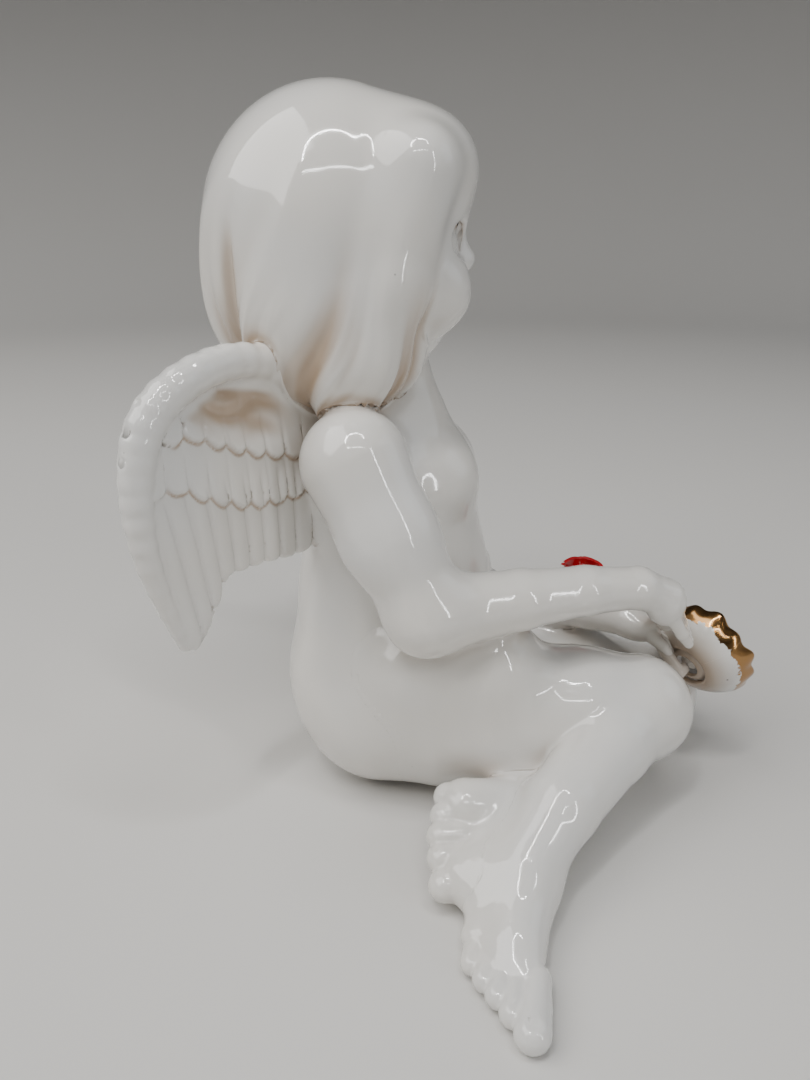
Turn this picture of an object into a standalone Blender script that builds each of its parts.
"""Seated cherub figurine holding a gilded blossom: slip-cast ceramic pieces, luted together.

Frame: metres, +Z up. +X is the way the thighs point and +Y is the figure's left.
The origin is on the resting surface, under the middle of the figurine's bounding box.
Sizes are in millimetres and are turned into metres where a mesh is made.
"""
import math

import bmesh
import bpy
from mathutils import Matrix, Vector
from mathutils.bvhtree import BVHTree

MM = 0.001

# --- joints between pieces ---------------------------------------------------------------
SEAM_GAP = 0.3          # slip joint left between two castings
WALL = 4.0              # wall of the hollow torso
SOCKET_FLOOR = 1.2      # wall left behind a blind socket
VENT_RADIUS = 4.0       # hole in the base that lets air and slip out
SPIGOT_RADIUS = 3.0     # locating spigot of a limb or a wing
CRUMB_SHARE = 0.02      # a loose body with fewer of a piece's points than this is a crumb of a cut

# --- torso -------------------------------------------------------------------------------
SHOULDER_HEIGHT = 80.0
HIP_HALF_WIDTH = 14.0
HIP_RADIUS = 19.5
HIP_HEIGHT = 18.5
PELVIS_RADIUS = 21.5
WAIST_RADIUS = 20.6
CHEST_RADIUS = 18.5
SHOULDER_RADIUS = 9.0
SHOULDER_HALF_WIDTH = 16.0
NECK_RADIUS = 10.0
NECK_LENGTH = 18.0

# --- head --------------------------------------------------------------------------------
HEAD_LENGTH = 56.0
HEAD_WIDTH = 54.0
HEAD_HEIGHT = 56.0
HEAD_RISE = 42.0        # head centre above the shoulders
NAPE_LENGTH = 33.0      # rolled hair at the nape, one roll on each side
NAPE_WIDTH = 26.0
NAPE_HEIGHT = 32.0

# --- limbs -------------------------------------------------------------------------------
DELTOID_RADIUS = 11.5
UPPER_ARM_RADIUS = 9.2
ELBOW_RADIUS = 8.0
FOREARM_RADIUS = 6.0
WRIST_RADIUS = 4.6
PALM_RADIUS = 3.8
FINGER_RADIUS = 3.0
THIGH_RADIUS = 18.0
LAP_RADIUS = 12.5       # haunch on top of the right thigh, which the forearm rests on
LOWER_THIGH_RADIUS = 14.5
RIGHT_KNEE_RADIUS = 12.0
LEFT_KNEE_RADIUS = 11.5
CALF_RADIUS = 8.5
SHIN_RADIUS = 7.2
ANKLE_RADIUS = 6.2
HEEL_RADIUS = 7.0
INSTEP_RADIUS = 5.6
FOOT_EDGE_RADIUS = 3.3  # half the foot's thickness behind the toes
TOE_RADIUS = 2.3
BIG_TOE_GROWTH = 1.4    # how much thicker the big toe is than the others

# --- wings -------------------------------------------------------------------------------
WING_SPLAY = 50.0       # degrees out from straight back
WING_EDGE_RADIUS = 5.2
FEATHER_RADIUS = 2.7
WING_SPIGOT_RADIUS = 2.0
FEATHER_COUNT = 14

# --- flowers -----------------------------------------------------------------------------
PETAL_THICKNESS = 1.1
BLOSSOM_RADIUS = 11.8
BLOSSOM_DEPTH = 9.5
BLOSSOM_CORE_RADIUS = 2.6
BLOSSOM_OUTER_PETALS = 5
BLOSSOM_INNER_PETALS = 3
RUFFLE_WAVES = 15
RUFFLE_HEIGHT = 0.8
PETAL_SLIT = 0.4        # room left between two petals of a ring, half way up
CORE_HEIGHT_SHARE = 0.55    # shares of the blossom's depth and radius
INNER_RADIUS_SHARE = 0.55
INNER_DEPTH_SHARE = 0.8
OUTER_DEPTH_SHARE = 0.85
STEM_RADIUS = 1.5
STEM_LENGTH = 3.0
ROSEBUD_RADIUS = 4.6
ROSEBUD_DEPTH = 6.0
ROSEBUD_CORE_RADIUS = 1.5
ROSEBUD_FOOT = 4.0      # how far the bud's core reaches down to the wrist that it is stuck on
ROSEBUD_PETALS = 4
ROSEBUD_PETAL_SHARE = 0.8   # share of the bud's depth that its petals reach

GLAZE = ("white_glaze", (0.82, 0.80, 0.76), 0.08, 0.0)
HAND_PAINTED_RED = ("red_glaze", (0.55, 0.02, 0.03), 0.12, 0.0)
GILDED = ("gilded_glaze", (0.80, 0.72, 0.58), 0.15, 0.3)


def clear_scene():
    """Removes every object that the new file starts with."""
    for obj in list(bpy.data.objects):
        bpy.data.objects.remove(obj)


def make_collection(name):
    """Makes a collection and links it to the scene."""
    collection = bpy.data.collections.new(name)
    bpy.context.scene.collection.children.link(collection)
    return collection


def make_material(spec):
    """Makes, or finds, the Principled material that a (name, colour, roughness, metallic) names."""
    name, colour, roughness, metallic = spec
    material = bpy.data.materials.get(name)
    if material is None:
        material = bpy.data.materials.new(name)
        material.use_nodes = True
        shader = material.node_tree.nodes["Principled BSDF"]
        shader.inputs["Base Color"].default_value = (*colour, 1.0)
        shader.inputs["Roughness"].default_value = roughness
        shader.inputs["Metallic"].default_value = metallic
    return material


# --- mesh building -----------------------------------------------------------------------
def add_ball(bm, centre, radii):
    """Adds an ellipsoid of the given centre and radii, in millimetres."""
    scale = Matrix.Diagonal((*(radius * MM for radius in radii), 1.0))
    bmesh.ops.create_uvsphere(bm, u_segments=24, v_segments=16, radius=1.0,
                              matrix=Matrix.Translation(Vector(centre) * MM) @ scale)


def add_rod(bm, start, end, start_radius, end_radius, segments=24):
    """Adds a capped cone or cylinder between two points, in millimetres."""
    axis = Vector(end) - Vector(start)
    turn = axis.to_track_quat("Z", "Y").to_matrix().to_4x4()
    middle = (Vector(start) + Vector(end)) * 0.5 * MM
    bmesh.ops.create_cone(bm, cap_ends=True, segments=segments, radius1=start_radius * MM,
                          radius2=end_radius * MM, depth=axis.length * MM,
                          matrix=Matrix.Translation(middle) @ turn)


def add_limb(bm, stations):
    """Adds a tapered limb through stations of (x, y, z, radius), in millimetres."""
    for x, y, z, radius in stations:
        add_ball(bm, (x, y, z), (radius, radius, radius))
    for start, end in zip(stations[:-1], stations[1:]):
        add_rod(bm, start[:3], end[:3], start[3], end[3])


def mirrored(stations):
    """The same limb on the other side of the body."""
    return [(x, -y, z, radius) for x, y, z, radius in stations]


def object_from(bm, name):
    """Turns a bmesh into an object in the workshop collection."""
    mesh = bpy.data.meshes.new(name)
    bm.to_mesh(mesh)
    bm.free()
    obj = bpy.data.objects.new(name, mesh)
    WORKSHOP.objects.link(obj)
    return obj


def bake(obj):
    """Replaces an object's mesh with what its modifiers make of it."""
    graph = bpy.context.evaluated_depsgraph_get()
    mesh = bpy.data.meshes.new_from_object(obj.evaluated_get(graph))
    obj.modifiers.clear()
    obj.data = mesh


def soften(obj, voxel, passes, triangles):
    """Melts overlapping primitives into one skin, smooths it, and thins it to about so many triangles."""
    remesh = obj.modifiers.new("melt", "REMESH")
    remesh.mode = "VOXEL"
    remesh.voxel_size = voxel * MM
    smooth = obj.modifiers.new("smooth", "SMOOTH")
    smooth.factor = 0.5
    smooth.iterations = passes
    bake(obj)
    obj.data.calc_loop_triangles()
    thin = obj.modifiers.new("thin", "DECIMATE")
    thin.ratio = min(1.0, triangles / len(obj.data.loop_triangles))
    bake(obj)


def combine(obj, tool, operation, keep_tool=False):
    """Applies one exact Boolean of a tool to an object, and removes the tool unless it is kept."""
    modifier = obj.modifiers.new("combine", "BOOLEAN")
    modifier.operation = operation
    modifier.solver = "EXACT"
    modifier.object = tool
    bake(obj)
    if not keep_tool:
        bpy.data.objects.remove(tool)


def grown_copy(form):
    """A cutter whose skin stands off a casting's whole form by the luting gap, for its neighbours."""
    bm = bmesh.new()
    bm.from_mesh(form.data)
    bm.normal_update()
    offsets = [vert.normal * min(vert.calc_shell_factor(), 1.5) * SEAM_GAP * MM for vert in bm.verts]
    for vert, offset in zip(bm.verts, offsets):
        vert.co += offset
    cutter = object_from(bm, form.name + "_cutter")
    cutter.hide_render = True
    cutter.display_type = "WIRE"
    return cutter


def sweep_crumbs(obj):
    """Drops the crumbs that a cut leaves beside the piece, and nothing larger."""
    bm = bmesh.new()
    bm.from_mesh(obj.data)
    bm.verts.ensure_lookup_table()
    unseen = set(bm.verts)
    bodies = []
    while unseen:
        front = [unseen.pop()]
        body = set(front)
        while front:
            for edge in front.pop().link_edges:
                for vert in edge.verts:
                    if vert in unseen:
                        unseen.discard(vert)
                        body.add(vert)
                        front.append(vert)
        bodies.append(body)
    limit = CRUMB_SHARE * len(bm.verts)
    crumbs = [vert for body in bodies if len(body) < limit for vert in body]
    bmesh.ops.delete(bm, geom=crumbs, context="VERTS")
    bm.to_mesh(obj.data)
    bm.free()


def surface_point(obj, start, direction):
    """Where a ray from outside first meets a piece, in millimetres."""
    bm = bmesh.new()
    bm.from_mesh(obj.data)
    tree = BVHTree.FromBMesh(bm)
    bm.free()
    hit = tree.ray_cast(Vector(start) * MM, Vector(direction).normalized())[0]
    return hit / MM


def cut_floor(obj):
    """Grinds a piece flat on the resting surface."""
    bm = bmesh.new()
    depth = 60.0
    bmesh.ops.create_cube(bm, size=1.0, matrix=Matrix.Translation((0.0, 0.0, -depth * MM / 2.0))
                          @ Matrix.Diagonal((0.4, 0.4, depth * MM, 1.0)))
    combine(obj, object_from(bm, "floor"), "DIFFERENCE")


def add_spigot(limb, torso, start, direction, radius=SPIGOT_RADIUS):
    """Joins a locating spigot to a limb and sinks its socket in the torso's wall."""
    depth = WALL - SOCKET_FLOOR
    axis = Vector(direction).normalized()
    seat = surface_point(torso, start, axis)
    bm = bmesh.new()
    add_rod(bm, Vector(start), seat + axis * depth, radius, radius)
    combine(limb, object_from(bm, "spigot"), "UNION")
    bm = bmesh.new()
    add_rod(bm, seat - axis * WALL, seat + axis * (depth + SEAM_GAP),
            radius + SEAM_GAP, radius + SEAM_GAP)
    combine(torso, object_from(bm, "socket"), "DIFFERENCE")


# --- landmarks ---------------------------------------------------------------------------
CHEST_HEIGHT = SHOULDER_HEIGHT - 12.0
NECK_BASE = SHOULDER_HEIGHT + 5.0
HEAD_HEIGHT_CENTRE = SHOULDER_HEIGHT + HEAD_RISE
DELTOID_OFFSET = SHOULDER_HALF_WIDTH + 11.0
TORSO_X = -5.0

RIGHT_ARM = [(-10.0, -DELTOID_OFFSET, SHOULDER_HEIGHT, DELTOID_RADIUS),
             (-3.0, -31.0, 66.0, UPPER_ARM_RADIUS),
             (5.0, -34.0, 50.5, ELBOW_RADIUS),
             (24.0, -29.0, 51.5, FOREARM_RADIUS),
             (49.0, -23.0, 52.0, WRIST_RADIUS),
             (57.0, -20.0, 48.5, WRIST_RADIUS),
             (61.0, -17.0, 42.0, PALM_RADIUS),
             (61.5, -15.0, 37.0, FINGER_RADIUS)]
LEFT_ARM = [(-10.0, DELTOID_OFFSET, SHOULDER_HEIGHT, DELTOID_RADIUS),
            (-4.0, 31.0, 62.0, UPPER_ARM_RADIUS),
            (1.0, 29.0, 39.5, ELBOW_RADIUS),
            (24.0, 18.0, 29.5, FOREARM_RADIUS),
            (46.0, 1.0, 34.0, WRIST_RADIUS),
            (57.0, -7.0, 34.5, PALM_RADIUS),
            (59.6, -10.0, 32.3, PALM_RADIUS)]
BLOSSOM_SEAT, BLOSSOM_AXIS = (67.3, -11.4, 25.6), (0.73, 0.58, 0.36)
ROSEBUD_SEAT, ROSEBUD_AXIS = (43.0, 1.0, 40.0), (0.0, -0.2, 1.0)
RIGHT_LEG = [(10.0, -18.0, 18.0, THIGH_RADIUS),
             (40.0, -24.0, 21.0, LOWER_THIGH_RADIUS),
             (53.0, -24.0, 22.0, RIGHT_KNEE_RADIUS),
             (44.0, -35.0, 20.0, CALF_RADIUS),
             (32.0, -49.0, 15.0, SHIN_RADIUS),
             (23.0, -60.0, 9.0, ANKLE_RADIUS)]
RIGHT_LAP = [(2.0, -22.0, 32.0, LAP_RADIUS + 1.0), (18.0, -24.5, 34.0, LAP_RADIUS - 0.5)]
RIGHT_FOOT = [[(23.0, -59.0, 6.5, HEEL_RADIUS), (19.5, -73.0, 4.0, INSTEP_RADIUS),
               (21.0, -86.0, 2.6, FOOT_EDGE_RADIUS)],
              [(22.0, -62.0, 5.0, INSTEP_RADIUS), (15.5, -80.0, 2.4, FOOT_EDGE_RADIUS)],
              [(20.0, -60.0, 5.0, INSTEP_RADIUS), (11.0, -72.0, 2.4, FOOT_EDGE_RADIUS)]]
LEFT_LEG = [(12.0, 14.0, 14.5, THIGH_RADIUS - 2.0),
            (42.0, 7.0, 13.5, LOWER_THIGH_RADIUS - 2.0),
            (63.0, 2.0, 10.0, LEFT_KNEE_RADIUS),
            (50.0, -12.0, 7.5, CALF_RADIUS),
            (34.0, -32.0, 7.0, SHIN_RADIUS),
            (26.0, -42.0, 7.0, ANKLE_RADIUS)]
LEFT_FOOT = [[(26.0, -42.0, 7.5, HEEL_RADIUS), (12.0, -45.0, 12.0, INSTEP_RADIUS)],
             [(24.0, -47.0, 6.5, HEEL_RADIUS), (12.0, -58.5, 6.0, INSTEP_RADIUS)]]


def wing_point(out, height, radius):
    """A station on the right wing, from how far out along its splayed plan line it lies."""
    splay = math.radians(WING_SPLAY)
    return (-20.0 - out * math.cos(splay), -13.0 - out * math.sin(splay),
            SHOULDER_HEIGHT + height, radius)


WING_EDGE = [wing_point(-1.0, 5.0, 3.6), wing_point(10.0, 17.5, WING_EDGE_RADIUS - 0.6),
             wing_point(24.0, 18.6, WING_EDGE_RADIUS), wing_point(36.5, 13.0, WING_EDGE_RADIUS),
             wing_point(41.3, 2.0, WING_EDGE_RADIUS - 0.6), wing_point(40.8, -14.0, 3.0),
             wing_point(36.3, -32.5, 2.2)]
WING_TRAIL = [wing_point(1.0, -20.0, 0.0), wing_point(12.0, -20.5, 0.0), wing_point(24.0, -19.5, 0.0),
              wing_point(29.5, -27.5, 0.0), wing_point(34.5, -34.2, 0.0)]


def along(stations, share):
    """The point a given share of the way along a chain, counting each stretch the same."""
    place = share * (len(stations) - 1)
    index = min(int(place), len(stations) - 2)
    start, end = Vector(stations[index][:3]), Vector(stations[index + 1][:3])
    return start.lerp(end, place - index)


# --- castings ----------------------------------------------------------------------------
def torso_form():
    """The torso's outer form, from the hips to the top of the neck, ground flat below."""
    bm = bmesh.new()
    for side in (-1.0, 1.0):
        hip = (TORSO_X, side * HIP_HALF_WIDTH, HIP_HEIGHT, HIP_RADIUS)
        add_limb(bm, [(TORSO_X, 0.0, HIP_HEIGHT, HIP_RADIUS), hip])
        shoulder = (-9.0, side * SHOULDER_HALF_WIDTH, SHOULDER_HEIGHT, SHOULDER_RADIUS)
        add_limb(bm, [(-8.0, 0.0, SHOULDER_HEIGHT, SHOULDER_RADIUS + 3.0), shoulder])
        add_limb(bm, [(-7.0, side * 7.0, 24.0, PELVIS_RADIUS),
                      (-3.0, side * 4.0, 46.0, WAIST_RADIUS),
                      (-2.5, side * 4.0, CHEST_HEIGHT, CHEST_RADIUS)])
    add_limb(bm, [(-3.0, 0.0, NECK_BASE, NECK_RADIUS + 1.0),
                  (-6.0, 0.0, NECK_BASE + NECK_LENGTH, NECK_RADIUS - 1.0)])
    torso = object_from(bm, "torso_casting")
    soften(torso, 1.8, 6, 1300)
    cut_floor(torso)
    return torso


def hollow_torso(torso):
    """Drains the torso: one cavity, with a vent through the base and sockets left blind."""
    bm = bmesh.new()
    add_limb(bm, [(TORSO_X, 0.0, HIP_HEIGHT + 3.0, HIP_RADIUS - WALL - 2.0),
                  (-4.0, 0.0, 46.0, WAIST_RADIUS - WALL),
                  (-4.0, 0.0, CHEST_HEIGHT, CHEST_RADIUS - WALL)])
    cavity = object_from(bm, "cavity")
    soften(cavity, 1.5, 2, 400)
    combine(torso, cavity, "DIFFERENCE")
    bm = bmesh.new()
    add_rod(bm, (TORSO_X, 0.0, -WALL), (TORSO_X, 0.0, HIP_HEIGHT), VENT_RADIUS, VENT_RADIUS)
    combine(torso, object_from(bm, "vent"), "DIFFERENCE")


def head_form():
    """Head with a bobbed head of hair: skull, face, cheeks, nose, fringe and nape."""
    length, width, height = HEAD_LENGTH / 2.0, HEAD_WIDTH / 2.0, HEAD_HEIGHT / 2.0
    z = HEAD_HEIGHT_CENTRE
    bm = bmesh.new()
    add_ball(bm, (-15.5, 0.0, z), (length - 1.0, width, height + 1.0))
    add_ball(bm, (-17.0, 0.0, z - 13.0), (length - 4.5, width - 1.5, height - 6.0))
    add_ball(bm, (2.5, 0.0, z + 12.5), (13.5, width - 6.0, 12.0))
    add_ball(bm, (-1.0, 0.0, z - 7.0), (12.5, 17.0, 18.0))
    for side in (-1.0, 1.0):
        add_ball(bm, (-15.0, side * (width - NAPE_WIDTH / 2.0), z - 18.0),
                 (NAPE_LENGTH / 2.0, NAPE_WIDTH / 2.0, NAPE_HEIGHT / 2.0))
        add_ball(bm, (5.5, side * 8.5, z - 12.0), (9.0, 8.0, 8.5))
    add_ball(bm, (0.0, 0.0, z - 19.0), (7.5, 7.0, 6.5))
    add_ball(bm, (13.0, 0.0, z - 4.5), (3.2, 2.6, 2.8))
    head = object_from(bm, "head_casting")
    soften(head, 1.8, 5, 1100)
    return head


def limb_form(name, chains, triangles):
    """A limb cast from one or more chains of stations."""
    bm = bmesh.new()
    for chain in chains:
        add_limb(bm, chain)
    limb = object_from(bm, name)
    soften(limb, 1.0, 4, triangles)
    return limb


def toes(first, last, direction):
    """Five toes side by side between two points, the big toe first."""
    chains = []
    for index in range(5):
        share = index / 4.0
        root = Vector(first).lerp(Vector(last), share)
        radius = TOE_RADIUS * (BIG_TOE_GROWTH if index == 0 else 1.0)
        reach = 4.4 - 0.5 * index
        tip = root + Vector(direction).normalized() * reach
        chains.append([(*root, radius + 0.4), (*tip, radius)])
    return chains


def wing_form(name, flip):
    """A wing: a rolled leading edge, and feathers that hang from it side by side."""
    chains = [WING_EDGE]
    for index in range(FEATHER_COUNT):
        share = index / (FEATHER_COUNT - 1)
        root, tip = along(WING_EDGE[:5], share), along(WING_TRAIL, share)
        chains.append([(*root, FEATHER_RADIUS), (*tip, FEATHER_RADIUS * 0.8)])
    if flip:
        chains = [mirrored(chain) for chain in chains]
    return limb_form(name, chains, 1000)


# --- flowers -----------------------------------------------------------------------------
def flower_frame(centre, axis):
    """Places a flower: its own +Z runs along the axis, with the origin at its base."""
    turn = Vector(axis).normalized().to_track_quat("Z", "Y").to_matrix().to_4x4()
    return Matrix.Translation(Vector(centre) * MM) @ turn


def petal_line(along, inner, outer, depth):
    """Radius and height of a petal's middle sheet, a share of the way from its foot to its rim."""
    swell = math.sin(along * math.pi / 2.0) ** 0.8
    return inner + (outer - inner) * swell, depth * along ** 1.4


def foot_outside(inner, outer, depth):
    """Foot radius of a ring that seats against the outside of another ring, with the luting gap."""
    half = PETAL_THICKNESS / 2.0
    reach = inner
    steps = 50
    for step in range(1, steps):
        radius, lift = petal_line(step / steps, inner, outer, depth)
        next_radius, next_lift = petal_line((step + 1) / steps, inner, outer, depth)
        length = math.hypot(next_radius - radius, next_lift - lift)
        if lift - half * (next_radius - radius) / length <= half:
            reach = max(reach, radius + half * (next_lift - lift) / length)
    return reach + SEAM_GAP


def petal(name, place, start, count, inner, outer, depth, waves):
    """One petal of a cupped ring: a bent patch that is thickened, with a ruffled rim."""
    columns, rows = 8, 5
    mid_radius = (inner + outer) / 2.0
    slit = PETAL_SLIT / mid_radius
    spread = 2.0 * math.pi / count
    bm = bmesh.new()
    bmesh.ops.create_grid(bm, x_segments=columns, y_segments=rows, size=0.5)
    for vert in bm.verts:
        along, across = vert.co.y + 0.5, vert.co.x + 0.5
        angle = start + slit / 2.0 + across * (spread - slit)
        radius, lift = petal_line(along, inner, outer, depth)
        lift += RUFFLE_HEIGHT * along ** 3 * math.cos(waves * angle)
        vert.co = Vector((radius * math.cos(angle), radius * math.sin(angle), lift)) * MM
    bmesh.ops.recalc_face_normals(bm, faces=bm.faces)
    obj = object_from(bm, name)
    obj.data.transform(place)
    thicken = obj.modifiers.new("thicken", "SOLIDIFY")
    thicken.thickness = PETAL_THICKNESS * MM
    thicken.offset = 0.0
    bake(obj)
    return obj


def petal_ring(prefix, place, count, inner, outer, depth, waves):
    """A ring of petals, side by side, with a slit between neighbours."""
    spread = 2.0 * math.pi / count
    return [petal(f"{prefix}_{index + 1}", place, index * spread, count, inner, outer, depth, waves)
            for index in range(count)]


def flower_core(name, place, radius, height, foot=0.0):
    """The cone of clay that the petals are pressed on, and its foot if it has one."""
    bm = bmesh.new()
    add_rod(bm, (0.0, 0.0, -foot), (0.0, 0.0, height), radius, radius * 0.5, 16)
    core = object_from(bm, name)
    core.data.transform(place)
    return core


def blossom(place, palm):
    """The gilded blossom: core, inner petals, outer petals, and a stem that turns to the palm."""
    inner_foot = BLOSSOM_CORE_RADIUS + SEAM_GAP
    inner_rim, inner_depth = BLOSSOM_RADIUS * INNER_RADIUS_SHARE, BLOSSOM_DEPTH * INNER_DEPTH_SHARE
    pieces = [flower_core("blossom_core", place, BLOSSOM_CORE_RADIUS,
                          BLOSSOM_DEPTH * CORE_HEIGHT_SHARE)]
    pieces += petal_ring("blossom_inner_petal", place, BLOSSOM_INNER_PETALS, inner_foot,
                         inner_rim, inner_depth, 0)
    pieces += petal_ring("blossom_outer_petal", place, BLOSSOM_OUTER_PETALS,
                         foot_outside(inner_foot, inner_rim, inner_depth),
                         BLOSSOM_RADIUS, BLOSSOM_DEPTH * OUTER_DEPTH_SHARE, RUFFLE_WAVES)
    bm = bmesh.new()
    add_rod(bm, (0.0, 0.0, -STEM_LENGTH), (0.0, 0.0, -SEAM_GAP), STEM_RADIUS, STEM_RADIUS, 12)
    stem = object_from(bm, "blossom_stem")
    stem.data.transform(place)
    turn = place @ (Vector((0.0, 0.0, -STEM_LENGTH)) * MM) / MM
    bm = bmesh.new()
    bmesh.ops.create_uvsphere(bm, u_segments=12, v_segments=8, radius=STEM_RADIUS * MM,
                              matrix=Matrix.Translation(turn * MM))
    elbow = object_from(bm, "elbow")
    bm = bmesh.new()
    add_rod(bm, turn, palm, STEM_RADIUS, STEM_RADIUS, 12)
    combine(stem, elbow, "UNION")
    combine(stem, object_from(bm, "stalk"), "UNION")
    return pieces + [stem]


def rosebud(place):
    """The small red rosebud: a core wrapped by petals."""
    pieces = [flower_core("rosebud_core", place, ROSEBUD_CORE_RADIUS, ROSEBUD_DEPTH, ROSEBUD_FOOT)]
    pieces += petal_ring("rosebud_petal", place, ROSEBUD_PETALS,
                         ROSEBUD_CORE_RADIUS + SEAM_GAP, ROSEBUD_RADIUS,
                         ROSEBUD_DEPTH * ROSEBUD_PETAL_SHARE, 0)
    return pieces


def trim_against(piece, cutters):
    """Cuts a piece clear of the pieces fitted before it, by the luting gap."""
    for cutter in cutters:
        combine(piece, cutter, "DIFFERENCE", keep_tool=True)
    sweep_crumbs(piece)


def finish(piece, spec):
    """Moves a finished piece out of the workshop and gives it its material."""
    WORKSHOP.objects.unlink(piece)
    FIGURINE.objects.link(piece)
    piece.data.materials.clear()
    piece.data.materials.append(make_material(spec))
    piece.data.shade_smooth()
    piece.data.set_sharp_from_angle(angle=math.radians(40.0))


def stand_on_origin(pieces):
    """Moves the figurine so that the middle of its box is over the origin."""
    corners = [vert.co for piece in pieces for vert in piece.data.vertices]
    middle_x = (min(co.x for co in corners) + max(co.x for co in corners)) / 2.0
    middle_y = (min(co.y for co in corners) + max(co.y for co in corners)) / 2.0
    for piece in pieces:
        piece.data.transform(Matrix.Translation((-middle_x, -middle_y, 0.0)))


def build():
    """Makes every casting, trims each against those fitted before it, then adds the flowers."""
    torso = torso_form()
    head = head_form()
    left_leg = limb_form("left_leg_casting", [LEFT_LEG] + LEFT_FOOT
                         + toes((10.5, -61.5, 5.0), (11.5, -43.5, 13.0), (-1.0, 0.0, 0.0)), 1100)
    right_leg = limb_form("right_leg_casting", [RIGHT_LEG, RIGHT_LAP] + RIGHT_FOOT
                          + toes((21.3, -86.5, 2.8), (12.5, -73.0, 2.4), (-0.2, -1.0, 0.0)), 1100)
    right_arm = limb_form("right_arm_casting", [RIGHT_ARM], 600)
    left_arm = limb_form("left_arm_casting", [LEFT_ARM], 600)
    right_wing = wing_form("right_wing_casting", False)
    left_wing = wing_form("left_wing_casting", True)
    castings = [torso, head, left_leg, right_leg, right_arm, left_arm, right_wing, left_wing]
    cutters = [grown_copy(casting) for casting in castings]

    for leg in (left_leg, right_leg):
        cut_floor(leg)
    for index, casting in enumerate(castings[1:], start=1):
        trim_against(casting, cutters[:index])

    bloom = blossom(flower_frame(BLOSSOM_SEAT, BLOSSOM_AXIS), Vector(LEFT_ARM[-1][:3]))
    bud = rosebud(flower_frame(ROSEBUD_SEAT, ROSEBUD_AXIS))
    for flower in bloom + bud:
        trim_against(flower, cutters[1:])

    add_spigot(right_arm, torso, (-10.0, -DELTOID_OFFSET, SHOULDER_HEIGHT), (0.0, 1.0, 0.0))
    add_spigot(left_arm, torso, (-10.0, DELTOID_OFFSET, SHOULDER_HEIGHT), (0.0, -1.0, 0.0))
    for wing, side in ((right_wing, 1.0), (left_wing, -1.0)):
        x, y, z, _ = wing_point(6.0, -4.0, 0.0)
        splay = math.radians(WING_SPLAY)
        inward = (math.cos(splay), side * math.sin(splay), 0.0)
        add_spigot(wing, torso, (x, side * y, z), inward, WING_SPIGOT_RADIUS)
    add_spigot(right_leg, torso, (34.0, -20.0, 18.0), (-1.0, 0.0, 0.0))
    add_spigot(left_leg, torso, (34.0, 14.0, 15.0), (-1.0, 0.0, 0.0))
    hollow_torso(torso)

    for piece in castings:
        finish(piece, GLAZE)
    for piece in bloom:
        finish(piece, GILDED)
    for piece in bud:
        finish(piece, HAND_PAINTED_RED)
    stand_on_origin(castings + bloom + bud)


clear_scene()
WORKSHOP = make_collection("workshop")
FIGURINE = make_collection("cherub_figurine")
build()
